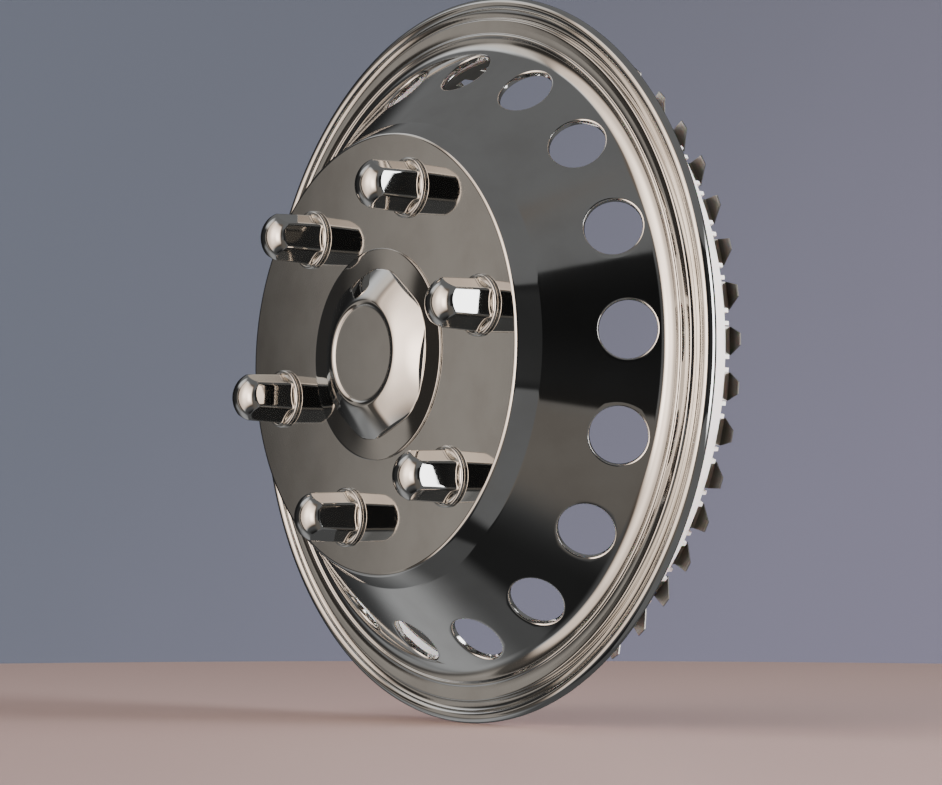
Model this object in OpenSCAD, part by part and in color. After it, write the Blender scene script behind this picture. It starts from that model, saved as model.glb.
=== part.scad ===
/* [Outer edge] */
// Outer radius over the rolled edge
rim_r = 242; // [230:0.5:262]
// Outer radius of the rolled edge's tube
roll_r = 4.4; // [3.9:0.1:5]
// Angle at which the rolled edge ends behind
roll_end_a = -125; // [-135:1:-100]
// Thickness of the shell's sheet
sheet_t = 0.8; // [0.6:0.1:1]
// Height of the groove floor beside the rolled edge
groove_z = 1.5; // [1:0.1:2]
// Width of the groove floor
groove_w = 5.2; // [4:0.1:7]
// Radial run of the step between the groove and the band
step_run = 1.2; // [0.8:0.1:2]
// Height of the band at its outer corner
band_z = 5.2; // [4.6:0.1:6]
// Corner radius of the band's outer edge
band_round_r = 1.2; // [0.5:0.1:1.5]
// Width from the band's outer corner to the inner bead
band_w = 10.8; // [9:0.1:13]
// Height of the shelf between the cone and the inner bead
shelf_z = 4.8; // [4:0.1:5]
// Radius of the inner bead's section
bead_r = 1.8; // [1.5:0.1:2.2]
// Height of the inner bead above the shelf
bead_h = 1; // [0.6:0.1:1.4]
// Width of the shelf from the inner bead to the foot of the cone
shelf_w = 8.4; // [8:0.1:12]
// Radius of the bend at the foot of the cone
foot_round_r = 14; // [8:0.5:14]

/* [Cone and disc] */
// Height of the flat disc above the rim plane
disc_z = 75; // [65:0.5:85]
// Radius of the flat disc at its corner
disc_r = 144.8; // [136:0.2:150]
// Corner radius of the disc's edge
disc_round_r = 3; // [1.5:0.5:4]
// Height of the steep wall round the disc
wall_drop = 14.2; // [10:0.2:18]
// Radial run of the steep wall
wall_run = 8.2; // [5:0.2:11]
// Radius of the bend between the steep wall and the cone
kink_round_r = 5.5; // [2:0.5:8]
// Number of round hand holes
hand_hole_n = 18; // [12:1:19]
// Clear diameter of a hand hole
hand_hole_d = 36.4; // [30:0.2:38]
// Distance of the hand holes from the foot of the cone, along the cone
hand_hole_inset = 25.9; // [24:0.1:34]
// Depth of a hand hole's rolled-in lip
hand_lip_h = 4; // [2:0.5:6]
// Angle of the first hand hole
hand_hole_a = 1.9; // [0:0.1:19]

/* [Nut covers] */
// Radius of the circle through the wheel nuts
nut_circle_r = 111.1; // [100:0.1:118]
// Angle of the first nut
nut_a = 12.4; // [0:0.1:59]
// Height of a nut cover above the disc
nut_h = 38.4; // [30:0.2:46]
// Radius of the dome on a nut cover
nut_dome_r = 18.4; // [17.5:0.1:20]
// Radius over a nut cover's sharp corners at its foot
nut_hex_r = 17.3; // [15:0.1:17.8]
// Narrowing of that radius over the cover's height
nut_taper = 1.5; // [0:0.1:2.5]
// Radius of a nut cover's rounded corners
nut_corner_r = 2.5; // [1.5:0.1:3.5]
// Sheet thickness of a nut cover
nut_t = 0.8; // [0.5:0.1:1]
// Radius of the circle along the flange's bead
nut_bead_r = 18.4; // [18:0.1:20]
// Radius of the bead's section
nut_bead_t = 1.3; // [1:0.1:1.6]
// Outer radius of the neck that passes through the disc
nut_neck_r = 11; // [9:0.1:12.5]
// Length of the neck behind the disc's front
nut_neck_l = 4; // [3:0.2:8]
// Outer radius of a nut clip
nut_clip_r = 16; // [14:0.5:20]

/* [Centre cap] */
// Outer radius of the centre cap
cap_r = 69.4; // [66:0.2:74]
// Height of the cap's outer edge
cap_edge_h = 2; // [1.6:0.1:2.4]
// Distance from the axis to a flat at the foot of the cap's six-sided ring
cap_flat_r = 50.4; // [47:0.1:51.5]
// Corner radius of the six-sided ring
cap_corner_r = 26; // [12:0.5:30]
// Height of the foot of the six-sided ring
cap_foot_h = 1.5; // [1.2:0.1:1.8]
// Bulge of the ring's outer side, where 1 is straight
cap_bulge = 1.3; // [1.1:0.05:2]
// Radius of the ring at its top
cap_crest_r = 34.6; // [33:0.1:38]
// Height of the ring
cap_crest_h = 12.8; // [12.2:0.1:16]
// Radius of the recessed middle
cap_recess_r = 31.2; // [25:0.1:34]
// Height of the recessed middle
cap_recess_h = 11.8; // [9:0.1:12]
// Turn of the cap's flats
cap_turn = -8.5; // [-30:0.5:30]
// Sheet thickness of the cap
cap_t = 0.8; // [0.6:0.1:1]
// Outer radius of the neck that passes through the disc
cap_neck_r = 59.7; // [59:0.1:62]
// Length of the neck behind the disc's front
cap_neck_l = 4.3; // [3:0.1:8]
// Outer radius of the cap's clip
cap_clip_r = 66; // [64:0.5:74]

/* [Clips] */
// Thickness of the clips behind the disc
clip_t = 0.8; // [0.6:0.1:1.5]
// Clearance between a neck and its hole or clip
neck_gap = 0.3; // [0.2:0.05:0.5]

/* [Retaining ring] */
// Clearance between the ring's bead and the rolled edge
ring_gap = 0.3; // [0.2:0.05:0.5]
// Thickness of the ring's flange
ring_flange_t = 4.3; // [3:0.1:5]
// Gap between the flange and the end of the rolled edge
ring_lip_gap = 0.4; // [0.3:0.1:1]
// Distance from the rim's outer radius to the inner edge of the flat land
ring_land_in = 16; // [13:0.1:18]
// Distance from the rim's outer radius to the top of the collar
ring_collar_in = 23; // [21:0.1:25]
// Depth of the collar's top behind the rim plane
ring_collar_z = 16.8; // [13:0.2:20]
// Distance from the rim's outer radius to the collar's inside
ring_bore_in = 33.7; // [32:0.1:35.5]
// Wall of the collar at its end
ring_wall_t = 4.7; // [3:0.1:5.5]
// Depth of the collar's end behind the rim plane
ring_z = 36; // [30:0.2:42]
// Number of gussets
gusset_n = 20; // [12:1:24]
// Thickness of a gusset
gusset_t = 2; // [1.5:0.1:3]
// Depth of a gusset's lower end behind the rim plane
gusset_z = 24.3; // [20:0.1:28]
// Reach of a gusset beyond the top of the collar
gusset_reach = 3; // [2:0.1:4]
// Height of the pegs beside each tooth
peg_h = 4; // [2:0.2:4.6]
// Width of a peg
peg_w = 2.6; // [2:0.2:3.4]
// Depth of a peg across the collar's wall
peg_t = 2.6; // [1.8:0.1:3]

/* [Tooth ring] */
// Number of teeth
tooth_n = 46; // [30:1:48]
// Angle of the first tooth
tooth_a = 0.3; // [0:0.1:7.8]
// Thickness of the spring steel strip
strip_t = 0.7; // [0.5:0.1:1]
// Clearance between the strip and the collar
strip_gap = 0.3; // [0.2:0.05:0.5]
// Depth of the strip's front edge behind the rim plane
strip_z = 27; // [20:0.5:32]
// Distance from the collar's end to the fold of the teeth
tooth_drop = 9.5; // [8:0.1:14]
// Width of a tooth at its fold
tooth_w = 17.5; // [14:0.1:19]
// Width of a tooth at its tip
tooth_tip_w = 7.2; // [4:0.1:11]
// Outward reach of a tooth from the fold
tooth_reach = 14; // [8:0.1:15]
// Rise of a tooth from the fold to its tip
tooth_rise = 4.5; // [2:0.1:6]
// Distance of the gap between two teeth from the collar's end
notch_gap = 1; // [0.5:0.1:2]

/* [Hidden] */
$fn = 96;
BRIGHT = [0.8, 0.8, 0.8];
IVORY = [0.93, 0.9, 0.83];
SATIN = [0.6, 0.59, 0.56];
// Each nut cover sits with a slightly different turn
nut_spins = [1, 0, 0, 5, 0, 0];
nut_step = 60;

// Outer edge, from the rim inward
roll_c = rim_r - roll_r;
floor_r = roll_c - sqrt(pow(roll_r, 2) - pow(groove_z, 2));
step_r = floor_r - groove_w;
band_r = step_r - step_run;
bead_c = band_r - band_w;
bead_half = sqrt(pow(bead_r, 2) - pow(bead_r - bead_h, 2));
bead_a = acos(bead_half / bead_r);
foot_r = bead_c - shelf_w;
kink_r = disc_r + wall_run;
kink_z = disc_z - wall_drop;
cone_a = atan2(kink_z - shelf_z, foot_r - kink_r);
disc_back_z = disc_z - sheet_t;
cap_hole_r = cap_neck_r + neck_gap;
nut_hole_r = nut_neck_r + neck_gap;

function unit(v) = v / norm(v);
// Points along an arc
function arc(c, r, a, b, n) = [for (i = [0:n]) let (t = a + (b - a) * i / n) c + r * [cos(t), sin(t)]];
// Points that round the corner p between u and v
function round_at(u, p, v, r, n) =
    let (d = unit(u - p), e = unit(v - p), h = acos(d * e) / 2)
    let (c = p + unit(d + e) * r / sin(h), f = p + d * r / tan(h) - c, g = p + e * r / tan(h) - c)
    let (a = atan2(f[1], f[0]), b = atan2(g[1], g[0]), s = (b - a + 900) % 360 - 180)
    arc(c, r, a, a + s, n);
// Unit normal to the left of a stretch
function left(a, b) = let (d = unit(b - a)) [-d[1], d[0]];
// A line moved sideways by t, to its left
function beside(p, t) = let (e = len(p) - 1) [for (i = [0:e])
    let (m = left(p[max(i - 1, 0)], p[max(i, 1)]), n = left(p[min(i, e - 1)], p[min(i + 1, e)]))
    let (u = unit(m + n)) p[i] + u * t / (u * m)];
function backward(p) = [for (i = [len(p) - 1:-1:0]) p[i]];

// The shell's front line, from the centre opening to the end of the rolled edge
disc_in = [cap_hole_r, disc_z];
disc_corner = [disc_r, disc_z];
kink = [kink_r, kink_z];
foot = [foot_r, shelf_z];
bead_in = [bead_c - bead_half, shelf_z];
band_corner = [band_r, band_z];
step_foot = [step_r, groove_z];
floor_out = [floor_r, groove_z];
front_line = concat(
    [disc_in],
    round_at(disc_in, disc_corner, kink, disc_round_r, 6),
    round_at(disc_corner, kink, foot, kink_round_r, 4),
    round_at(kink, foot, bead_in, foot_round_r, 8),
    arc([bead_c, shelf_z + bead_h - bead_r], bead_r, 180 - bead_a, bead_a, 8),
    round_at([bead_c + bead_half, shelf_z], band_corner, step_foot, band_round_r, 5),
    [step_foot],
    arc([roll_c, 0], roll_r, 180 - asin(groove_z / roll_r), roll_end_a, 36));
cone_dir = unit(foot - kink);
cone_out = [-cone_dir[1], cone_dir[0]];
hole_at = foot - cone_dir * hand_hole_inset;
hole_back = hand_hole_d / 2 + sheet_t + 4;

// Moves a shape onto one of the hand hole axes, its z running out of the cone
module at_hand_hole(i) {
    rotate([0, 0, hand_hole_a + i * 360 / hand_hole_n])
        translate([hole_at[0], 0, hole_at[1]])
            rotate([0, atan2(cone_out[0], cone_out[1]), 0])
                children();
}

module at_nut(i) {
    rotate([0, 0, nut_a + i * nut_step])
        translate([nut_circle_r, 0, 0])
            rotate([0, 0, nut_spins[i] - nut_a - i * nut_step])
                children();
}

// The cone's band that holds the rolled-in lips, from the middle of the sheet inwards
module lip_band() {
    a = hole_at - cone_dir * hole_back;
    b = hole_at + cone_dir * min(hole_back, hand_hole_inset - 3);
    skin = cone_out * sheet_t / 2;
    rotate_extrude($fn = 180)
        polygon([a - skin, b - skin, b - cone_out * hand_lip_h, a - cone_out * hand_lip_h]);
}

module cover_shell() {
    color(BRIGHT) rotate([90, 0, 0]) difference() {
        union() {
            rotate_extrude($fn = 180)
                polygon(concat(front_line, backward(beside(front_line, -sheet_t))));
            intersection() {
                lip_band();
                union() {
                    for (i = [0:hand_hole_n - 1])
                        at_hand_hole(i)
                            translate([0, 0, -hand_hole_d / 2])
                                cylinder(r = hand_hole_d / 2 + sheet_t, h = hand_hole_d);
                }
            }
        }
        for (i = [0:hand_hole_n - 1])
            at_hand_hole(i)
                translate([0, 0, -hand_hole_d / 2])
                    cylinder(r = hand_hole_d / 2, h = hand_hole_d);
        for (i = [0:5])
            at_nut(i)
                translate([0, 0, disc_z - 5])
                    cylinder(r = nut_hole_r, h = 10);
    }
}

// Radius of the foot of the cap's ring at an angle: a hexagon with rounded corners
function ring_foot_r(a) =
    let (d = abs((a - cap_turn + 3630) % 60 - 30), s = (cap_flat_r - cap_corner_r) * tan(30))
    let (k = (cap_flat_r - cap_corner_r) / cos(30))
    cap_flat_r * tan(d) <= s ? cap_flat_r / cos(d)
        : k * cos(30 - d) + sqrt(pow(cap_corner_r, 2) - pow(k * sin(30 - d), 2));
// The cap's outer line at an angle, from its edge to its recessed middle
cap_neck_in = cap_neck_r - cap_t;
function cap_line(w) = concat(
    [[cap_neck_in, cap_edge_h + (cap_foot_h - cap_edge_h) * (cap_r - cap_neck_in) / (cap_r - w)]],
    [for (u = [1:-0.1:0.05]) [cap_crest_r + (w - cap_crest_r) * u,
        cap_foot_h + (cap_crest_h - cap_foot_h) * (1 - pow(u, cap_bulge))]],
    [for (u = [0:15:90]) [cap_crest_r - (cap_crest_r - cap_recess_r) * sin(u),
        cap_recess_h + (cap_crest_h - cap_recess_h) * cos(u)]]);
// All rings of the cap's closed section at an angle
function cap_ring(a) =
    let (p = cap_line(ring_foot_r(a)), q = beside(concat(p, [[0, cap_recess_h]]), cap_t), e = len(p) - 1)
    concat([for (i = [e:-1:1]) q[i]], [[cap_neck_in, p[0][1] - cap_t]],
        [[cap_neck_in, -cap_neck_l], [cap_neck_r, -cap_neck_l], [cap_neck_r, 0], [cap_r, 0],
        [cap_r, cap_edge_h]], p);
cap_n = 72;
cap_m = len(cap_ring(0));

module centre_cap() {
    points = [for (i = [0:cap_n - 1]) let (a = i * 360 / cap_n)
        for (p = cap_ring(a)) [p[0] * cos(a), p[0] * sin(a), disc_z + p[1]]];
    sides = [for (i = [0:cap_n - 1]) for (j = [0:cap_m - 2]) let (k = (i + 1) % cap_n)
        [i * cap_m + j, i * cap_m + j + 1, k * cap_m + j + 1, k * cap_m + j]];
    inner = [for (i = [0:cap_n - 1]) i * cap_m];
    outer = [for (i = [cap_n - 1:-1:0]) i * cap_m + cap_m - 1];
    color(BRIGHT) rotate([90, 0, 0])
        polyhedron(points = points, faces = concat(sides, [inner, outer]));
}

// A flat clip ring pressed against the disc's back
module clip(neck_r, outer_r) {
    translate([0, 0, disc_back_z - clip_t])
        difference() {
            cylinder(r = outer_r, h = clip_t);
            translate([0, 0, -1])
                cylinder(r = neck_r + neck_gap / 2, h = clip_t + 2);
        }
}

module centre_cap_clip() {
    color(SATIN) rotate([90, 0, 0]) clip(cap_neck_r, cap_clip_r);
}

// The six-sided body of a nut cover with its dome, made smaller by t all round
module nut_body(t) {
    k = nut_hex_r - nut_corner_r / cos(30);
    intersection() {
        hull() {
            for (i = [0:5]) {
                rotate([0, 0, 30 + i * 60]) translate([k, 0, 0])
                    cylinder(r = nut_corner_r - t, h = 0.01, $fn = 32);
                rotate([0, 0, 30 + i * 60]) translate([k - nut_taper, 0, nut_h])
                    cylinder(r = nut_corner_r - t, h = 0.01, $fn = 32);
            }
        }
        union() {
            translate([0, 0, nut_h - nut_dome_r]) sphere(r = nut_dome_r - t);
            cylinder(r = nut_dome_r - t, h = nut_h - nut_dome_r);
        }
    }
}

module nut_cover(i) {
    color(BRIGHT) rotate([90, 0, 0]) at_nut(i) translate([0, 0, disc_z]) difference() {
        union() {
            nut_body(0);
            cylinder(r = nut_bead_r, h = nut_t);
            rotate_extrude() translate([nut_bead_r, nut_bead_t]) circle(r = nut_bead_t);
            translate([0, 0, -nut_neck_l]) cylinder(r = nut_neck_r, h = nut_neck_l + nut_t);
        }
        difference() {
            nut_body(nut_t);
            translate([0, 0, -1]) cylinder(r = nut_bead_r, h = 1 + nut_t);
        }
        translate([0, 0, -nut_neck_l - 1]) cylinder(r = nut_neck_r - nut_t, h = nut_neck_l + nut_t + 2);
    }
}

module nut_clip(i) {
    color(SATIN) rotate([90, 0, 0]) at_nut(i) clip(nut_neck_r, nut_clip_r);
}

module nut_cover_1() { nut_cover(0); }
module nut_cover_2() { nut_cover(1); }
module nut_cover_3() { nut_cover(2); }
module nut_cover_4() { nut_cover(3); }
module nut_cover_5() { nut_cover(4); }
module nut_cover_6() { nut_cover(5); }
module nut_clip_1() { nut_clip(0); }
module nut_clip_2() { nut_clip(1); }
module nut_clip_3() { nut_clip(2); }
module nut_clip_4() { nut_clip(3); }
module nut_clip_5() { nut_clip(4); }
module nut_clip_6() { nut_clip(5); }

// Retaining ring
ring_front_z = groove_z - sheet_t;
ring_back_z = ring_front_z - ring_flange_t;
ring_out_r = roll_c + roll_r * cos(roll_end_a) - ring_lip_gap;
land_r = rim_r - ring_land_in;
collar_r = rim_r - ring_collar_in;
bore_r = rim_r - ring_bore_in;
slope = [for (t = [0:0.125:1]) [land_r - (land_r - collar_r) * (1 - pow(1 - t, 2)),
    ring_back_z - (ring_collar_z + ring_back_z) * pow(t, 1.6)]];
// Middle of the collar's end face
peg_r = bore_r + ring_wall_t / 2;
pitch = 360 / tooth_n;
function collar_out(z) = collar_r - (collar_r - bore_r - ring_wall_t) * (-z - ring_collar_z) / (ring_z - ring_collar_z);

module retaining_ring() {
    color(IVORY) rotate([90, 0, 0]) union() {
        rotate_extrude($fn = 180)
            polygon(concat([[bore_r, -ring_z], [bore_r + ring_wall_t, -ring_z]], backward(slope),
                [[ring_out_r, ring_back_z], [ring_out_r, ring_front_z], [bore_r + 4.7, ring_front_z],
                [bore_r, ring_front_z - 4.7]]));
        rotate_extrude($fn = 180)
            translate([roll_c, 0]) circle(r = roll_r - sheet_t - ring_gap);
        for (i = [0:gusset_n - 1])
            rotate([0, 0, (i + 0.5) * 360 / gusset_n])
                rotate([90, 0, 0])
                    translate([0, 0, -gusset_t / 2])
                        linear_extrude(gusset_t)
                            polygon([[collar_out(-gusset_z) - 0.5, -gusset_z],
                                [collar_r + gusset_reach, slope[4][1] - 1], [collar_r + gusset_reach, slope[3][1]],
                                [collar_r - 1, slope[4][1]]]);
        for (i = [0:tooth_n - 1])
            for (s = [-1, 1])
                rotate([0, 0, tooth_a + i * pitch])
                    translate([peg_r - peg_t / 2, s * (tooth_w / 2 + peg_w / 2 + 0.4) - peg_w / 2, -ring_z - peg_h])
                        cube([peg_t, peg_w, peg_h + 0.5]);
    }
}

// Tooth ring
strip_r = bore_r - strip_gap;
fold_z = ring_z + tooth_drop;
tooth_a2 = atan2(tooth_rise, tooth_reach);
tooth_l = (tooth_reach + strip_t) / cos(tooth_a2);

// One tooth: an upright tab below the strip and a tapered blade bent outward from it
module tooth() {
    translate([strip_r - strip_t, -tooth_w / 2, -fold_z])
        cube([strip_t, tooth_w, tooth_drop - notch_gap + 1]);
    translate([strip_r - strip_t, 0, -fold_z])
        rotate([0, -tooth_a2, 0])
            linear_extrude(strip_t)
                polygon([[0.3, -tooth_w / 2], [strip_t + 0.5, -tooth_w / 2], [tooth_l, -tooth_tip_w / 2],
                    [tooth_l, tooth_tip_w / 2], [strip_t + 0.5, tooth_w / 2], [0.3, tooth_w / 2]]);
}

module tooth_ring() {
    color(SATIN) rotate([90, 0, 0]) union() {
        translate([0, 0, -ring_z - notch_gap])
            difference() {
                cylinder(r = strip_r, h = ring_z + notch_gap - strip_z, $fn = 180);
                translate([0, 0, -1])
                    cylinder(r = strip_r - strip_t, h = ring_z + notch_gap - strip_z + 2, $fn = 180);
            }
        for (i = [0:tooth_n - 1])
            rotate([0, 0, tooth_a + i * pitch]) tooth();
    }
}

cover_shell();
centre_cap();
centre_cap_clip();
nut_cover_1();
nut_cover_2();
nut_cover_3();
nut_cover_4();
nut_cover_5();
nut_cover_6();
nut_clip_1();
nut_clip_2();
nut_clip_3();
nut_clip_4();
nut_clip_5();
nut_clip_6();
retaining_ring();
tooth_ring();
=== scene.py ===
# %% [markdown]
# # A wheel simulator, dressed in Blender
# A wheel simulator is a bright steel cover that makes a plain truck wheel look like a polished one. The solid model
# is loaded first and stays as it is. Each cell after it makes one piece or one finish, and says why it is made so.

# %% Load the fixed frame
import math
import bmesh
import bpy
from mathutils import Matrix, Vector


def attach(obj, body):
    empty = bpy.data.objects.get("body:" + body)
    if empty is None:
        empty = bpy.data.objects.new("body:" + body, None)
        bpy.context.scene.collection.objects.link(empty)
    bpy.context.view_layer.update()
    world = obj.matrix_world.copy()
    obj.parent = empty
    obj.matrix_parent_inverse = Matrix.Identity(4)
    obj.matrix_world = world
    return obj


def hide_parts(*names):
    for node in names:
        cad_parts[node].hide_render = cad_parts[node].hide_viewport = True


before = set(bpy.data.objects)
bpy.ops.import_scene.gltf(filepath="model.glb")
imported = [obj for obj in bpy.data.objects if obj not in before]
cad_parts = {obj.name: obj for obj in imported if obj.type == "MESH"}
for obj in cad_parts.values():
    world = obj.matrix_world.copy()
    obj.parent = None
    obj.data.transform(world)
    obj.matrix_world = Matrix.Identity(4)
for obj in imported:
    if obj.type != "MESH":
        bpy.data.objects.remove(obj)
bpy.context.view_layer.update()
print("solids:", sorted(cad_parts))

# %% [markdown]
# ## Drawing in rings
# Nearly every piece here is round, or six-sided with a round foot. Spinning a profile would make the round ones, but
# not those whose outline changes from a circle to a hexagon. So each piece starts as one circle, and that circle is
# extruded ring after ring. Each new ring is set on its own outline, which may be a radius and a height, or a function
# of the angle. The wheel's axis is Y, the front is -Y, and heights are counted from the rim towards the front.

# %% Rings and outlines
MM = 0.001


def angle_of(vert):
    return math.atan2(vert.co.z, vert.co.x)


def put(vert, outline):
    a = angle_of(vert)
    r, h = outline(a) if callable(outline) else outline
    vert.co = Vector((r * math.cos(a), -h, r * math.sin(a))) * MM


def first_ring(bm, steps, outline, turn=0.0):
    made = bmesh.ops.create_circle(bm, segments=steps, radius=1.0)["verts"]
    stand = Matrix.Rotation(-turn, 4, "Y") @ Matrix.Rotation(math.radians(90), 4, "X")
    bmesh.ops.transform(bm, matrix=stand, verts=made)
    for vert in made:
        put(vert, outline)
    return sorted({e for v in made for e in v.link_edges}, key=lambda e: e.index)


def next_ring(bm, edges, outline):
    made = bmesh.ops.extrude_edge_only(bm, edges=edges)["geom"]
    verts = {g for g in made if isinstance(g, bmesh.types.BMVert)}
    for vert in verts:
        put(vert, outline)
    return [g for g in made if isinstance(g, bmesh.types.BMEdge) and set(g.verts) <= verts]


def rings(bm, steps, outlines, turn=0.0):
    edges = first_ring(bm, steps, outlines[0], turn)
    start = edges
    for outline in outlines[1:]:
        edges = next_ring(bm, edges, outline)
    return start, edges


def finish_mesh(bm, name):
    mesh = bpy.data.meshes.new(name)
    bm.to_mesh(mesh)
    bm.free()
    mesh.polygons.foreach_set("use_smooth", [True] * len(mesh.polygons))
    piece = bpy.data.objects.new(name, mesh)
    bpy.context.scene.collection.objects.link(piece)
    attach(piece, "root")
    print(name, len(mesh.vertices), "points,", len(mesh.polygons), "faces")
    return piece


# %% [markdown]
# ## Bends in the sheet
# A sheet metal profile is straight stretches with a bend at each corner. Only the corners and the bend radii are
# written down. The two helpers turn a corner, or a rolled edge, into the few points that a smooth bend needs.

# %% Arcs and rounded corners
def arc(centre, radius, start, end, steps):
    turns = [math.radians(start + (end - start) * i / steps) for i in range(steps + 1)]
    return [(centre[0] + radius * math.cos(t), centre[1] + radius * math.sin(t)) for t in turns]


def rounded(before, corner, after, radius, steps):
    p, a, b = Vector(corner), Vector(before), Vector(after)
    d, e = (a - p).normalized(), (b - p).normalized()
    half = math.acos(max(-1.0, min(1.0, d.dot(e)))) / 2
    c = p + (d + e).normalized() * radius / math.sin(half)
    f, g = p + d * radius / math.tan(half) - c, p + e * radius / math.tan(half) - c
    start, end = math.degrees(math.atan2(f.y, f.x)), math.degrees(math.atan2(g.y, g.x))
    sweep = (end - start + 540) % 360 - 180
    return arc((c.x, c.y), radius, start, start + sweep, steps)


# %% [markdown]
# ## The cover shell's profile
# The shell is one deep-drawn sheet: a flat disc, a steep wall, a long cone with the hand holes, a shelf with two fine
# beads, a groove, and an edge rolled right round. In mirror-bright steel a flat face next to a bend would look bent
# all over, so an extra ring close to each bend keeps the flat face flat.

# %% Shell sizes and its two runs of rings
SHEET = 0.8
RIM, ROLL = 242.0, 4.4
GROOVE = 1.5
roll_mid = RIM - ROLL
floor_out = (roll_mid - math.sqrt(ROLL ** 2 - GROOVE ** 2), GROOVE)
step_foot = (floor_out[0] - 5.2, GROOVE)
band_corner = (step_foot[0] - 1.2, 5.2)
bead_mid = band_corner[0] - 10.8
BEAD, BEAD_UP, SHELF = 1.8, 1.0, 4.8
bead_half = math.sqrt(BEAD ** 2 - (BEAD - BEAD_UP) ** 2)
bead_turn = math.degrees(math.acos(bead_half / BEAD))
foot = (bead_mid - 8.4, SHELF)
DISC_R, DISC_H = 144.8, 75.0
disc_edge = (DISC_R, DISC_H)
kink = (DISC_R + 8.2, DISC_H - 14.2)
cone_way = (Vector(foot) - Vector(kink)).normalized()
cone_len = (Vector(foot) - Vector(kink)).length
cone_tilt = math.atan2(kink[1] - foot[1], foot[0] - kink[0])
HOLE_IN, HOLE_R, LIP, BEND = 25.9, 18.2, 4.0, 1.2
PATCH_IN, PATCH_OUT = 30.0, cone_len - 6.1


def on_cone(s):
    p = Vector(kink) + cone_way * s
    return (p.x, p.y)


bead_foot = (bead_mid + bead_half, SHELF)
NUT_CIRCLE, NUT_TURN, NUT_HOLE = 111.1, 12.4, 11.3
DISC_IN, DISC_OUT, DISC_TURN = 90.0, 133.0, 11.9
NUT_HOLE_BAND, ROUND_STEPS = 0.4, 360
middle_run = [(60.0, DISC_H), (61.5, DISC_H), (DISC_IN, DISC_H)]
inner_run = [(DISC_OUT, DISC_H), (141.5, DISC_H), (142.8, DISC_H)] + rounded((60.0, DISC_H), disc_edge, kink, 3.0, 7)
inner_run += rounded(disc_edge, kink, foot, 5.5, 4)
inner_run += [on_cone(1.4), on_cone(3.0), on_cone(15.0), on_cone(PATCH_IN)]
outer_run = [on_cone(PATCH_OUT)] + rounded(kink, foot, (bead_mid, SHELF), 14.0, 9)
outer_run += arc((bead_mid, SHELF + BEAD_UP - BEAD), BEAD, 180 - bead_turn, bead_turn, 8)
outer_run += [(bead_foot[0] + 0.5, SHELF + 0.04), (bead_foot[0] + 1.6, SHELF + 0.2)]
outer_run += [(bead_foot[0] + 5.0, SHELF + 0.36), (band_corner[0] - 1.9, 5.12)]
outer_run += rounded(bead_foot, band_corner, step_foot, 1.2, 5)
outer_run += rounded(band_corner, step_foot, floor_out, 0.5, 3)
outer_run += arc((roll_mid, 0.0), ROLL, 180 - math.degrees(math.asin(GROOVE / ROLL)), -125, 28)
print("cone", round(cone_len, 2), "mm long at", round(math.degrees(cone_tilt), 2), "degrees;",
      len(middle_run) + len(inner_run), "rings inside the hand holes,", len(outer_run), "outside")

# %% [markdown]
# ## The hand holes
# Each of the 18 holes is punched and its edge is rolled inwards. Cutting them with a boolean would leave ragged faces,
# and polished steel shows every one. Instead one eighteenth of the cone is drawn flat, as a frame of edges round a
# hole: the frame is extruded inwards to the hole's edge, divided into rings and wrapped on the cone. The hole's edge
# is then extruded through the bend into the lip, and the finished sector is spun round the wheel. The disc's six
# holes, where the nut covers are clipped in, are drawn with the same frame.

# %% One sector of the cone
HOLES, HOLE_TURN = 18, 1.9
sector = math.radians(360 / HOLES)
hole_s = cone_len - HOLE_IN
hole_mid = Vector(on_cone(hole_s))
normal = Vector((math.sin(cone_tilt), math.cos(cone_tilt)))


def flat_to_wheel(turn, r, h):
    return Vector((r * math.cos(turn), -h, r * math.sin(turn))) * MM


def lip_point(beta, rho, depth):
    """A point rho from the hole's axis in the direction beta, this deep below the cone's face."""
    painted_light, along, drop = HOLE_R + BEND, HOLE_R + BEND, 0.0
    for _ in range(4):
        x = painted_light * math.cos(beta)
        r = hole_mid.x + along * math.sin(beta) * cone_way.x - drop * normal.x
        h = hole_mid.y + along * math.sin(beta) * cone_way.y - drop * normal.y
        far = math.hypot(r, x)
        drop += (far - kink[0]) * normal.x + (h - kink[1]) * normal.y
    x = rho * math.cos(beta)
    r = hole_mid.x + rho * math.sin(beta) * cone_way.x - (drop + depth) * normal.x
    h = hole_mid.y + rho * math.sin(beta) * cone_way.y - (drop + depth) * normal.y
    return math.atan2(x, r), math.hypot(r, x), h


def along_cone(r, h):
    return (r - kink[0]) * cone_way.x + (h - kink[1]) * cone_way.y


def frame_round(bm, columns, rows, width, low, high, cuts, hole_point, wrap):
    """A flat frame of edges, drawn in to the points of a hole, divided, and wrapped on the sheet."""
    made = bmesh.ops.create_grid(bm, x_segments=columns, y_segments=rows, size=0.5)["verts"]
    inside = [v for v in made if abs(v.co.x) < 0.499 and abs(v.co.y) < 0.499]
    bmesh.ops.delete(bm, geom=inside, context="VERTS")
    for v in bm.verts:
        v.co = Vector((v.co.x * width, low + (v.co.y + 0.5) * (high - low), 0.0))
    made = bmesh.ops.extrude_edge_only(bm, edges=bm.edges[:])["geom"]
    rim = {g for g in made if isinstance(g, bmesh.types.BMVert)}
    edges = [e for e in made if isinstance(e, bmesh.types.BMEdge) and set(e.verts) <= rim]
    for v in rim:
        v.co = Vector((*hole_point(v.co.x, v.co.y), 0.0))
    spokes = [e for e in bm.edges if len(set(e.verts) & rim) == 1]
    bmesh.ops.subdivide_edges(bm, edges=spokes, cuts=cuts, use_grid_fill=True)
    for v in bm.verts:
        v.co = wrap(v.co.x, v.co.y)
    return edges


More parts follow.
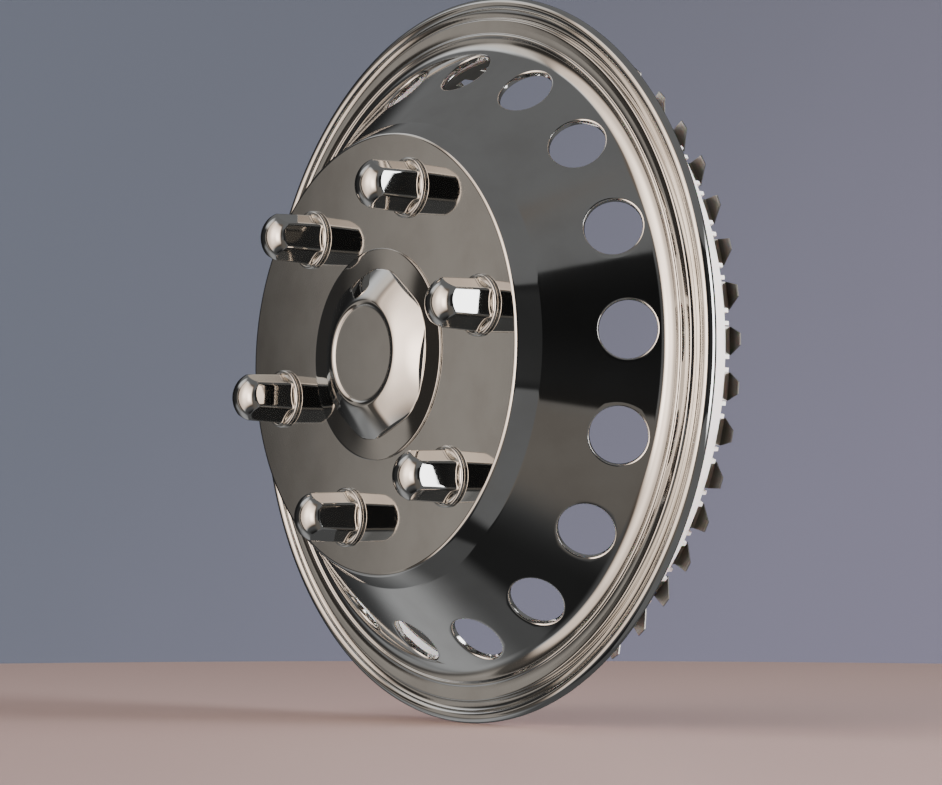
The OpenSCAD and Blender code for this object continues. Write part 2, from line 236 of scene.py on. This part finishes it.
def hand_hole_point(turn, s):
    turn, r, h = lip_point(math.atan2(s - hole_s, turn * hole_mid.x), HOLE_R + BEND, 0.0)
    return turn, along_cone(r, h)


def nut_hole_point(turn, r):
    off = math.radians(NUT_TURN - DISC_TURN)
    beta = math.atan2(r - NUT_CIRCLE, (turn - off) * NUT_CIRCLE)
    x, y = (NUT_HOLE + NUT_HOLE_BAND) * math.cos(beta), NUT_CIRCLE + (NUT_HOLE + NUT_HOLE_BAND) * math.sin(beta)
    return off + math.atan2(x, y), math.hypot(x, y)


def draw_lip(bm, edges):
    bends = [(HOLE_R + BEND * (1 - math.sin(math.radians(t))), BEND * (1 - math.cos(math.radians(t))))
             for t in (20, 42, 66, 90)]
    centre = flat_to_wheel(0.0, hole_mid.x, hole_mid.y)
    way = Vector((cone_way.x, -cone_way.y, 0.0))
    for rho, depth in bends + [(HOLE_R, LIP - 0.3), (HOLE_R, LIP)]:
        made = bmesh.ops.extrude_edge_only(bm, edges=edges)["geom"]
        verts = {g for g in made if isinstance(g, bmesh.types.BMVert)}
        edges = [e for e in made if isinstance(e, bmesh.types.BMEdge) and set(e.verts) <= verts]
        for v in verts:
            beta = math.atan2((v.co - centre).dot(way), v.co.z)
            v.co = flat_to_wheel(*lip_point(beta, rho, depth))


# %% Spin the sector and join the shell
AXIS, MIDDLE = Vector((0, -1, 0)), Vector((0, 0, 0))


def repeat_round(bm, turn, count):
    bmesh.ops.rotate(bm, cent=MIDDLE, matrix=Matrix.Rotation(math.radians(turn), 3, AXIS), verts=bm.verts[:])
    bmesh.ops.spin(bm, geom=bm.verts[:] + bm.edges[:] + bm.faces[:], cent=MIDDLE, axis=AXIS,
                   angle=math.radians(360 - 360 / count), steps=count - 1, use_duplicate=True)


def make_shell():
    bm = bmesh.new()
    edges = frame_round(bm, 60, 12, math.radians(60), DISC_IN, DISC_OUT, 1, nut_hole_point,
                        lambda turn, r: flat_to_wheel(turn, r, DISC_H))
    centre = flat_to_wheel(math.radians(NUT_TURN - DISC_TURN), NUT_CIRCLE, DISC_H)
    rim = bmesh.ops.extrude_edge_only(bm, edges=edges)["geom"]
    for v in (g for g in rim if isinstance(g, bmesh.types.BMVert)):
        v.co = centre + (v.co - centre).normalized() * NUT_HOLE * MM
    repeat_round(bm, DISC_TURN, 6)
    disc_part = bpy.data.meshes.new("disc_part")
    bm.to_mesh(disc_part)
    bm.clear()
    draw_lip(bm, frame_round(bm, 20, 12, sector, PATCH_IN, PATCH_OUT, 7, hand_hole_point,
                             lambda turn, s: flat_to_wheel(turn, *on_cone(s))))
    repeat_round(bm, HOLE_TURN, HOLES)
    bm.from_mesh(disc_part)
    grid = math.radians(HOLE_TURN)
    rings(bm, ROUND_STEPS, middle_run, grid)
    rings(bm, ROUND_STEPS, inner_run, grid)
    rings(bm, ROUND_STEPS, outer_run, grid)
    bmesh.ops.remove_doubles(bm, verts=bm.verts[:], dist=0.00003)
    bmesh.ops.recalc_face_normals(bm, faces=bm.faces[:])
    disc = max(bm.faces, key=lambda f: f.calc_area())
    if disc.normal.y > 0:
        bmesh.ops.reverse_faces(bm, faces=bm.faces[:])
    loose = [e for e in bm.edges if len(e.link_faces) == 1]
    print("open edges:", len(loose), "expected", ROUND_STEPS * 2 + 64 * HOLES + 144 * 6)
    return finish_mesh(bm, "cover_shell_sheet")


shell = make_shell()
wall = shell.modifiers.new("sheet", "SOLIDIFY")
wall.thickness, wall.offset, wall.use_even_offset = SHEET * MM, -1.0, True
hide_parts("cover_shell")

# %% [markdown]
# ## A hexagon with rounded corners
# The nut covers and the centre cap are six-sided with soft corners. One function gives the distance from the middle to
# that outline in any direction, and every six-sided ring uses it.

# %% Six-sided outlines
def six_sided(flat, corner, turn):
    """Distance to a hexagon's outline, in the direction turn from the middle of a flat."""
    t = abs((turn + math.radians(30)) % math.radians(60) - math.radians(30))
    reach = (flat - corner) / math.cos(math.radians(30))
    if flat * math.tan(t) <= (flat - corner) * math.tan(math.radians(30)):
        return flat / math.cos(t)
    side = math.radians(30) - t
    return reach * math.cos(side) + math.sqrt(corner ** 2 - (reach * math.sin(side)) ** 2)


# %% [markdown]
# ## Nut covers
# A nut cover is a thin steel thimble: a slightly tapered hexagon under a round dome, on a flange with a rolled bead.
# Where the dome meets a flat there is a clean arc, which is the first thing one sees on the real part. A boolean of a
# hexagon and a sphere gives that arc but a hard edge, so each ring here works out where the sphere meets its flat and
# rounds the crease a little. The same rings, one sheet further in, make the hollow.

# %% Draw one nut cover
NUT_H, DOME, NUT_SHEET = 38.4, 18.4, 0.8
HEX_R, TAPER, HEX_CORNER = 17.3, 1.5, 2.5
NUT_BEAD, NUT_BEAD_R, NECK, NECK_L = 18.4, 1.3, 11.0, 4.0


def nut_wall(a, h, inset):
    flat = (HEX_R - TAPER * h / NUT_H) * math.cos(math.radians(30)) - inset
    return six_sided(flat, HEX_CORNER - inset, a)


def nut_crease(a, inset):
    h = 30.0
    for _ in range(12):
        h = NUT_H - DOME + math.sqrt(max(0.0, (DOME - inset) ** 2 - nut_wall(a, h, inset) ** 2))
    return nut_wall(a, h, inset), h


def nut_dome(part, inset):
    def outline(a):
        r = part * nut_crease(a, inset)[0]
        return r, NUT_H - DOME + math.sqrt((DOME - inset) ** 2 - r ** 2)
    return outline


def nut_side(down, inset, foot_h):
    def outline(a):
        top = nut_crease(a, inset)[1]
        h = top - down if down < 3 else foot_h + (top - foot_h) * (1 - down / 100)
        return nut_wall(a, h, inset), h
    return outline


def nut_flare(out, h):
    return lambda a: (nut_wall(a, h, 0.0) + out, h)


nut_rings = [nut_dome(p, 0.0) for p in (0.05, 0.14, 0.26, 0.38, 0.5, 0.61, 0.71, 0.8, 0.87, 0.92, 0.955, 0.98)]
nut_rings += [nut_side(d, 0.0, 3.2) for d in (0.3, 0.75, 1.4, 30, 65, 100)]
nut_rings += [nut_flare(0.04, 2.4), nut_flare(0.16, 1.8), nut_flare(0.42, 1.35)]
nut_rings += [(17.42, 1.12), (17.55, 1.02)]
nut_rings += arc((NUT_BEAD, NUT_BEAD_R), NUT_BEAD_R, 168, -90, 18)
nut_rings += [(17.0, 0.0), (NECK + 0.3, 0.0), (NECK, -0.3), (NECK, -NECK_L + 0.2), (NECK - 0.2, -NECK_L)]
nut_rings += [(NECK - 0.6, -NECK_L), (NECK - NUT_SHEET, -NECK_L + 0.2), (NECK - NUT_SHEET, 0.6)]
nut_rings += [(NECK - 0.5, 0.8), lambda a: (nut_wall(a, 1.0, NUT_SHEET) - 0.3, 0.8)]
nut_rings += [nut_side(d, NUT_SHEET, 1.2) for d in (100, 50, 0.5)]
nut_rings += [nut_dome(p, NUT_SHEET) for p in (0.98, 0.9, 0.7, 0.4, 0.1)]
print("nut cover:", len(nut_rings), "rings")

# %% [markdown]
# The six covers are pressed on one by one, so none has quite the same turn. A cover drawn once is copied, turned and
# set on its hole, with its place in its mesh as on the solids.

# %% Set the six nut covers
nut_spins = [1.0, 0.0, 0.0, 5.0, 0.0, 0.0]
drawn = bmesh.new()
top_edges, end_edges = rings(drawn, 96, nut_rings)
bmesh.ops.contextual_create(drawn, geom=top_edges)
bmesh.ops.contextual_create(drawn, geom=end_edges)
bmesh.ops.recalc_face_normals(drawn, faces=drawn.faces[:])
nut_mesh = bpy.data.meshes.new("nut_cover_drawn")
drawn.to_mesh(nut_mesh)
drawn.free()


def set_nut(number, spin):
    bm = bmesh.new()
    bm.from_mesh(nut_mesh)
    a = math.radians(NUT_TURN + 60 * number)
    bmesh.ops.rotate(bm, cent=(0, 0, 0), matrix=Matrix.Rotation(math.radians(spin), 3, (0, -1, 0)), verts=bm.verts[:])
    bmesh.ops.translate(bm, vec=flat_to_wheel(a, NUT_CIRCLE, DISC_H), verts=bm.verts[:])
    piece = finish_mesh(bm, "nut_cover_%d_thimble" % (number + 1))
    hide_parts("nut_cover_%d" % (number + 1))
    return piece


nuts = [set_nut(i, spin) for i, spin in enumerate(nut_spins)]
bpy.data.meshes.remove(nut_mesh)

# %% [markdown]
# ## Centre cap
# The cap is a pressed lid with a round rim. A soft round ring rises from its flange and surrounds a flat recessed
# middle. A hexagon with well rounded corners trims the ring's outer side, which leaves a crisp edge with a low step
# under it. Each ring of points on that side is part of the way from the ring's round top to the hexagon.

# %% Draw the centre cap
CAP_R, CAP_EDGE, CAP_FLAT, CAP_CORNER, CAP_FOOT, BULGE = 69.4, 1.1, 52.2, 30.0, 1.8, 1.25
CREST_R, CREST_H, RECESS_R, RECESS_H = 34.6, 12.8, 31.2, 11.8
CAP_FULL = (CAP_FLAT - CAP_CORNER) / math.cos(math.radians(30)) + CAP_CORNER
CAP_SHEET, CAP_NECK, CAP_NECK_L = 0.8, 59.7, 4.3
CAP_BORE = CAP_NECK - CAP_SHEET
CAP_TURN = math.radians(-8.5)


def slope_height(r):
    return DISC_H + CAP_FOOT + (CREST_H - CAP_FOOT) * (1 - ((r - CREST_R) / (CAP_FULL - CREST_R)) ** BULGE)


def cap_slope(u, inset):
    """The ring's round outer side: u is 1 where the six-sided outline trims it and 0 at its top."""
    def outline(a):
        r = CREST_R + (six_sided(CAP_FLAT, CAP_CORNER, a - CAP_TURN) - CREST_R) * u
        part = (r - CREST_R) / (CAP_FULL - CREST_R)
        fall = BULGE * part ** (BULGE - 1) * (CREST_H - CAP_FOOT) / (CAP_FULL - CREST_R)
        lean = Vector((fall, 1.0)).normalized() * inset
        return r - lean.x, slope_height(r) - lean.y
    return outline


def cap_step(part):
    """The low step under the trimmed edge: part is 0 at the edge and 1 at the flange."""
    def outline(a):
        r = six_sided(CAP_FLAT, CAP_CORNER, a - CAP_TURN)
        return r + 0.4 * part, slope_height(r) + (DISC_H + CAP_FOOT - slope_height(r)) * part
    return outline


def cap_flange(part, inset):
    """The flange: part is 0 at the ring's foot and 1 at the rim."""
    def outline(a):
        foot_r = six_sided(CAP_FLAT, CAP_CORNER, a - CAP_TURN)
        return foot_r + (CAP_R - foot_r) * part, DISC_H + CAP_FOOT + (CAP_EDGE - CAP_FOOT) * part - inset
    return outline


def cap_roll(t, inset):
    """The slope from the ring's top down to the recess: t is 0 at the top and 90 at the recess."""
    c, s = math.cos(math.radians(t)), math.sin(math.radians(t))
    wide, tall = CREST_R - RECESS_R, CREST_H - RECESS_H
    slope = Vector((-s * tall, c * wide)).normalized() * inset
    return CREST_R - wide * s - slope.x, DISC_H + RECESS_H + tall * c - slope.y


def lifted(points):
    return [(r, DISC_H + h) for r, h in points]


cap_rings = lifted([(1.5, RECESS_H), (15.0, RECESS_H), (29.6, RECESS_H), (30.7, RECESS_H)])
cap_rings += lifted([(RECESS_R - 0.15, RECESS_H + 0.03), (RECESS_R, RECESS_H + 0.16)])
cap_rings += [cap_roll(t, 0.0) for t in range(80, 0, -8)]
cap_rings += [cap_slope(u, 0.0) for u in (0.004, 0.02, 0.05, 0.1, 0.17, 0.25, 0.34, 0.44)]
cap_rings += [cap_slope(u, 0.0) for u in (0.54, 0.64, 0.74, 0.84, 0.92, 0.97, 0.995)]
cap_rings += [cap_step(p) for p in (0.1, 0.5, 0.9)] + [cap_flange(p, 0.0) for p in (0.04, 0.07, 0.3, 0.6, 0.9, 0.96)]
cap_rings += lifted([(CAP_R - 0.2, CAP_EDGE - 0.03), (CAP_R - 0.04, CAP_EDGE - 0.14), (CAP_R, CAP_EDGE - 0.3)])
cap_rings += lifted([(CAP_R, 0.15), (CAP_R - 0.2, 0.0), (CAP_NECK + 0.5, 0.0)])
cap_rings += lifted([(CAP_NECK, -0.4), (CAP_NECK, -CAP_NECK_L + 0.1), (CAP_NECK - 0.4, -CAP_NECK_L)])
cap_rings += lifted([(CAP_BORE, -CAP_NECK_L + 0.2), (CAP_BORE, 0.1), (CAP_BORE - 0.2, 0.5)])
cap_rings += [cap_flange(0.2, CAP_SHEET), cap_flange(0.05, CAP_SHEET)]
cap_rings += [cap_slope(u, CAP_SHEET) for u in (0.95, 0.75, 0.5, 0.25, 0.05)]
cap_rings += [cap_roll(t, CAP_SHEET) for t in (0, 30, 60, 80)]
cap_rings += lifted([(30.5, RECESS_H - CAP_SHEET), (28.0, RECESS_H - CAP_SHEET), (1.5, RECESS_H - CAP_SHEET)])

bm = bmesh.new()
start_edges, end_edges = rings(bm, 180, cap_rings)
bmesh.ops.contextual_create(bm, geom=start_edges)
bmesh.ops.contextual_create(bm, geom=end_edges)
bmesh.ops.recalc_face_normals(bm, faces=bm.faces[:])
cap = finish_mesh(bm, "centre_cap_lid")
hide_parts("centre_cap")

# %% [markdown]
# ## Shader sums
# A finish is mostly arithmetic on patterns. This small class holds a socket and gives it the usual signs, so that
# 1 - mask or a * b + c adds the Math nodes itself. Any other node comes from the one method `add`.

# %% A socket that can be added and multiplied
class Wire:
    def __init__(self, graph, socket):
        self.graph, self.socket = graph, socket

    def math(self, operation, a, b=None, clamp=False):
        values = {0: a} if b is None else {0: a, 1: b}
        return self.graph.add("ShaderNodeMath", {"operation": operation, "use_clamp": clamp}, values)

    def __add__(self, other): return self.math("ADD", self, other)
    def __radd__(self, other): return self.math("ADD", other, self)
    def __sub__(self, other): return self.math("SUBTRACT", self, other)
    def __rsub__(self, other): return self.math("SUBTRACT", other, self)
    def __mul__(self, other): return self.math("MULTIPLY", self, other)
    def __rmul__(self, other): return self.math("MULTIPLY", other, self)
    def __pow__(self, other): return self.math("POWER", self, other)
    def __neg__(self): return self.math("MULTIPLY", self, -1.0)
    def root(self): return self.math("SQRT", self)
    def clamped(self): return self.math("ADD", self, 0.0, clamp=True)

    def between(self, low, high):
        """0 below low, 1 above high, and smooth in between."""
        return self.graph.add("ShaderNodeMapRange", {"interpolation_type": "SMOOTHSTEP"},
                              {"Value": self, "From Min": low, "From Max": high})


class Graph:
    def __init__(self, tree):
        self.tree = tree
        tree.nodes.clear()

    def add(self, kind, settings=None, sockets=None, out=0):
        node = self.tree.nodes.new(kind)
        node.location = (220 * (len(self.tree.nodes) % 9), -260 * (len(self.tree.nodes) // 9))
        for name, value in (settings or {}).items():
            setattr(node, name, value)
        for name, value in (sockets or {}).items():
            if isinstance(value, Wire):
                self.tree.links.new(value.socket, node.inputs[name])
            else:
                node.inputs[name].default_value = value
        return Wire(self, node.outputs[out]) if node.outputs else None

    def mix(self, part, one, two):
        return self.add("ShaderNodeMix", {"data_type": "RGBA"}, {"Factor": part, 6: one, 7: two}, 2)

    def parts(self, vector):
        node = self.add("ShaderNodeSeparateXYZ", {}, {0: vector}).socket.node
        return [Wire(self, node.outputs[i]) for i in range(3)]

    def noise(self, scale, detail, place, rough=0.5):
        return self.add("ShaderNodeTexNoise", {},
                        {"Vector": place, "Scale": scale, "Detail": detail, "Roughness": rough})


def finish(name):
    material = bpy.data.materials.new(name)
    material.use_nodes = True
    return material, Graph(material.node_tree)


def dress(piece, material):
    piece.data.materials.clear()
    piece.data.materials.append(material)


# %% [markdown]
# ## Bright steel
# The sheet is stainless steel polished on a lathe-like buff, so it mirrors its surroundings, with hardly visible rings
# round the axis and a slight haze that comes and goes. The rings come from the distance to the axis, and a broad soft
# noise moves the roughness a little. The bump is far too small to see as relief and only unsettles the mirror image.

# %% Bright steel for shell, nuts and cap
def bright_steel(name, axis_at=(0.0, 0.0), haze=0.035, waves=0.25):
    material, g = finish(name)
    place = g.add("ShaderNodeTexCoord", out="Object")
    x, y, z = g.parts(place)
    ring = ((x - axis_at[0]) ** 2.0 + (z - axis_at[1]) ** 2.0).root()
    line = g.add("ShaderNodeCombineXYZ", {}, {0: ring * 1000.0, 1: y * 40.0, 2: 0.0})
    buff = g.noise(2.2, 3.0, line)
    broad = g.noise(9.0, 3.0, place)
    cloud = g.noise(30.0, 4.0, place)
    rough = haze + 0.05 * broad * cloud + 0.02 * buff
    tint = g.mix(cloud.between(0.35, 0.75), (0.66, 0.65, 0.625, 1.0), (0.60, 0.585, 0.56, 1.0))
    height = 0.02 * buff + 1.0 * broad
    bump = g.add("ShaderNodeBump", {}, {"Strength": waves, "Distance": 0.0005, "Height": height})
    skin = g.add("ShaderNodeBsdfPrincipled", {}, {"Base Color": tint, "Metallic": 1.0, "Roughness": rough,
                                                 "Normal": bump})
    g.add("ShaderNodeOutputMaterial", {}, {"Surface": skin})
    return material


dress(shell, bright_steel("bright_steel_shell"))
dress(cap, bright_steel("bright_steel_cap", haze=0.02, waves=0.1))
for i, piece in enumerate(nuts):
    a = math.radians(NUT_TURN + 60 * i)
    centre = (NUT_CIRCLE * MM * math.cos(a), NUT_CIRCLE * MM * math.sin(a))
    dress(piece, bright_steel("bright_steel_nut_%d" % (i + 1), centre, 0.03, 0.1))
print("bright steel on", [piece.name for piece in [shell, cap] + nuts])

# %% [markdown]
# ## Ivory plastic and spring steel
# The ring in the rolled edge is moulded in a slightly waxy ivory plastic. The strip of teeth and the clips are spring
# steel as it comes off the coil: greyer than the shell, with long fine rolling marks and a trace of oil.

# %% Ivory plastic
ivory, g = finish("ivory_plastic")
place = g.add("ShaderNodeTexCoord", out="Object")
mottle = g.noise(14.0, 4.0, place)
grain = g.noise(900.0, 2.0, place)
colour = g.mix(mottle.between(0.3, 0.7), (0.93, 0.90, 0.88, 1.0), (0.90, 0.86, 0.83, 1.0))
bump = g.add("ShaderNodeBump", {}, {"Strength": 0.15, "Distance": 0.0002, "Height": grain})
skin = g.add("ShaderNodeBsdfPrincipled", {}, {"Base Color": colour, "Roughness": 0.38 + 0.12 * mottle, "Normal": bump,
                                             "Subsurface Weight": 0.15, "Subsurface Scale": 0.004})
g.add("ShaderNodeOutputMaterial", {}, {"Surface": skin})
dress(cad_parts["retaining_ring"], ivory)
print(ivory.name, "has", len(ivory.node_tree.nodes), "nodes")

# %% Spring steel
def spring_steel(name, dark, light):
    material, g = finish(name)
    place = g.add("ShaderNodeTexCoord", out="Object")
    x, y, z = g.parts(place)
    ring = (x ** 2.0 + z ** 2.0).root()
    lengthwise = g.add("ShaderNodeCombineXYZ", {}, {0: ring * 900.0, 1: y * 900.0, 2: x * 6.0})
    marks = g.noise(1.0, 4.0, lengthwise)
    oil = g.noise(22.0, 3.0, place)
    tint = g.mix((0.6 * marks + 0.5 * oil).between(0.3, 0.8), dark, light)
    bump = g.add("ShaderNodeBump", {}, {"Strength": 0.2, "Distance": 0.0001, "Height": marks})
    skin = g.add("ShaderNodeBsdfPrincipled", {}, {"Base Color": tint, "Metallic": 1.0, "Normal": bump,
                                                 "Roughness": 0.2 + 0.18 * marks + 0.1 * oil})
    g.add("ShaderNodeOutputMaterial", {}, {"Surface": skin})
    return material


teeth_steel = spring_steel("spring_steel_teeth", (0.30, 0.28, 0.25, 1.0), (0.46, 0.44, 0.40, 1.0))
clip_steel = spring_steel("spring_steel_clips", (0.36, 0.36, 0.35, 1.0), (0.52, 0.52, 0.50, 1.0))
dress(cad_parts["tooth_ring"], teeth_steel)
for name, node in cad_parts.items():
    if name.endswith("clip") or name.startswith("nut_clip"):
        dress(node, clip_steel)
        print(clip_steel.name, "on", name)

# %% [markdown]
# ## The studio
# The wheel cover stands on a round pale table in a plain blue-grey room. A flat backdrop would do for one view, but it
# would stand in front of a camera behind the wheel. So the room is a closed round wall that is there from every side.
# It glows a little by itself and casts no shadow, which keeps it even, and its colour carries painted light: it is
# lighter towards the right of the view and lower down. As a photographer hangs black flags to keep a table out of a
# mirror, the table and the wall are kept out of the reflections.

# %% Table and room
FLOOR = -0.242


def staged(name, bm):
    mesh = bpy.data.meshes.new(name)
    bm.to_mesh(mesh)
    bm.free()
    piece = bpy.data.objects.new(name, mesh)
    piece.visible_glossy = False
    bpy.context.scene.collection.objects.link(piece)
    return piece


def paint(name, dark, light, rough, glow=0.0, lean=(0.0, 0.0, 0.0)):
    """A plain matt colour with painted light: it grows lighter in the direction lean, as if lit from that side."""
    material, g = finish(name)
    place = g.add("ShaderNodeTexCoord", out="Object")
    x, y, z = g.parts(place)
    painted_light = x * lean[0] + y * lean[1] + z * lean[2]
    tint = g.mix((painted_light + 0.3 * g.noise(2.0, 3.0, place)).between(-1.0, 1.5), dark, light)
    skin = g.add("ShaderNodeBsdfPrincipled", {}, {"Base Color": tint, "Roughness": rough,
                                                 "Emission Color": tint, "Emission Strength": glow})
    g.add("ShaderNodeOutputMaterial", {}, {"Surface": skin})
    return material


TABLE_R, ROOM_R = 1.4, 4.0
bm = bmesh.new()
bmesh.ops.create_circle(bm, cap_ends=True, segments=256, radius=TABLE_R, matrix=Matrix.Translation((0, 0, FLOOR)))
floor = staged("floor", bm)
TABLE_DARK, TABLE_LIGHT = (0.46, 0.34, 0.33, 1.0), (0.50, 0.37, 0.355, 1.0)
dress(floor, paint("pale_table", TABLE_DARK, TABLE_LIGHT, 0.55))
bm = bmesh.new()
bmesh.ops.create_cone(bm, cap_ends=True, segments=128, radius1=ROOM_R, radius2=ROOM_R, depth=2 * ROOM_R)
bmesh.ops.reverse_faces(bm, faces=bm.faces[:])
for face in bm.faces:
    face.smooth = len(face.verts) == 4
backdrop = staged("backdrop", bm)
backdrop.visible_diffuse = backdrop.visible_shadow = False
# Painted light on the wall: its colour goes from the shaded to the lit end towards the right of the view and lower
# down.
WALL_SHADED, WALL_LIT, WALL_GLOW = (0.072, 0.081, 0.106, 1.0), (0.112, 0.113, 0.166, 1.0), 0.95
dress(backdrop, paint("blue_grey_backdrop_painted_light", WALL_SHADED, WALL_LIT, 0.9, WALL_GLOW, (0.5, 0.64, -0.7)))
print("table", TABLE_R, "m and room", ROOM_R, "m in radius")

# %% [markdown]
# ## What the steel reflects
# Polished steel has hardly a colour of its own: it shows what stands round it. Real lamps and screens could do that,
# but each would have to be moved until its image lies right. Here the world is painted by direction instead, in
# degrees round and up from the wheel's front: a broad warm soft light in front, a white one behind on the right, and
# dark cloth at the sides and below.

# %% World, seen in the steel
world = bpy.data.worlds.new("studio")
bpy.context.scene.world = world
world.use_nodes = True
g = Graph(world.node_tree)
way = g.add("ShaderNodeTexCoord", out="Generated")
x, y, z = g.parts(way)
DEG = 180 / math.pi
side = g.add("ShaderNodeMath", {"operation": "ARCTAN2"}, {0: x, 1: -y}) * DEG
rise = g.add("ShaderNodeMath", {"operation": "ARCSINE"}, {0: z}) * DEG


def panel(left, right, low, high, soft=4.0, softer=None):
    """A soft-edged rectangle in the room: 1 inside, 0 outside, in degrees round and up."""
    tall = soft if softer is None else softer
    return (side.between(left - soft, left + soft) * (1 - side.between(right - soft, right + soft))
            * rise.between(low - tall, low + tall) * (1 - rise.between(high - tall, high + tall)))


lean, drop = rise + 0.35 * side, rise - 0.2 * side
level = 0.10 + 0.09 * rise.between(16, 34) + 0.07 * side.between(10, 34) * (1 - rise.between(-10, 10))

# Dark cloth under the front and on the left
under_front, left_side = panel(-40, 26, -100, -52, 9.0), panel(-150, 0, -10, 30, 6.0)
far_left = panel(-150, -80, -20, 28, 8.0)
level = level * (1 - 0.78 * under_front)
level = level * (1 - 0.6 * (1 - side.between(-48, -44)) * left_side)
level = level * (1 - 0.5 * far_left) + 0.2 * panel(-80, -60, -24, -12, 4.0)

# A narrow upright strip on the left, then the broad soft light in front and its brighter middle
strip = 0.34 * side.between(-58.2, -52.2) * (1 - side.between(-51.2, -50.2))
level = level + strip * rise.between(-36, -14) * (1 - rise.between(16, 36))
near_front = drop.between(-38, -26) * (1 - lean.between(42, 52)) * (1 - rise.between(50, 57))
level = level + 1.3 * side.between(-46, -38) * (1 - side.between(19, 26)) * near_front
middle = 1.5 * side.between(-36, -10) * (1 - side.between(17, 24))
level = level + middle * drop.between(-32, -8) * (1 - lean.between(26, 50))
level = level + 3.0 * panel(4, 18, -16, 14, 5.0, 10.0) + 1.5 * panel(-20, 6, -4, 26, 10.0)

# Two faint lights on the left, high and low
level = level + 0.9 * panel(-74, -46, 26, 50, 6.0)
level = level + 0.34 * panel(-104, -58, -50, -26, 9.0)

# Dark cloth on the right, and the white light behind it
level = level * (1 - 0.88 * panel(37, 102, -16, 28.5, 0.7))
level = level + 0.026 * panel(57, 102, -14, 26, 3.0) + 7.0 * panel(108, 142, -16, 26, 5.0)
warm = (panel(-60, 28, -34, 50, 8.0) + panel(20, 50, -60, -14, 8.0)).clamped()
tone = g.mix(warm, (0.95, 0.97, 1.0, 1.0), (1.0, 0.92, 0.84, 1.0))
tone = g.mix(panel(-46, 26, -38, 50, 4.0), tone, (1.0, 0.82, 0.69, 1.0))
sky = g.add("ShaderNodeBackground", {}, {"Color": tone, "Strength": level})
g.add("ShaderNodeOutputWorld", {}, {"Surface": sky})
print("the world has", len(world.node_tree.nodes), "nodes")

# %% [markdown]
# ## Lamps
# The painted world lights the steel, which only mirrors. The matt table and the ivory ring need lamps as well: a large
# one on the right and a weak one overhead, both soft. They are kept out of the reflections.

# %% Lamps
def lamp(name, at, target, size, power, colour):
    data = bpy.data.lights.new(name, "AREA")
    data.shape, data.size, data.size_y = "RECTANGLE", size[0], size[1]
    data.energy, data.color = power, colour
    made = bpy.data.objects.new(name, data)
    made.location = at
    made.rotation_euler = (Vector(target) - Vector(at)).to_track_quat("-Z", "Y").to_euler()
    made.visible_glossy = False
    bpy.context.scene.collection.objects.link(made)
    print(name, power, "W")


lamp("right_soft", (2.2, 0.55, 0.55), (0.2, 0.0, 0.0), (0.9, 1.2), 85.0, (1.0, 0.96, 0.95))
lamp("top_soft", (-0.6, -1.2, 2.6), (0.0, 0.1, 0.0), (1.2, 1.2), 22.0, (1.0, 0.96, 0.9))

# %% [markdown]
# ## Camera
# The camera stands where the photograph was taken: a long lens, about 52 degrees to the right of the wheel's front
# and slightly below its middle.

# %% Camera
reach = 0.242
right = Vector((0.6136, 0.7896, 0.0)).normalized()
back = Vector((0.788, -0.6123, -0.0659)).normalized()
upward = back.cross(right).normalized()
camera = bpy.data.objects.new("camera", bpy.data.cameras.new("camera"))
camera.matrix_world = Matrix.Translation(Vector((6.126, -4.750, -0.603)) * reach) @ Matrix(
    (right, upward, back)).transposed().to_4x4()
camera.data.lens, camera.data.sensor_width = 107.35, 36.0
bpy.context.scene.collection.objects.link(camera)
bpy.context.scene.camera = camera
print("camera", round(camera.location.length, 2), "m from the wheel's middle")
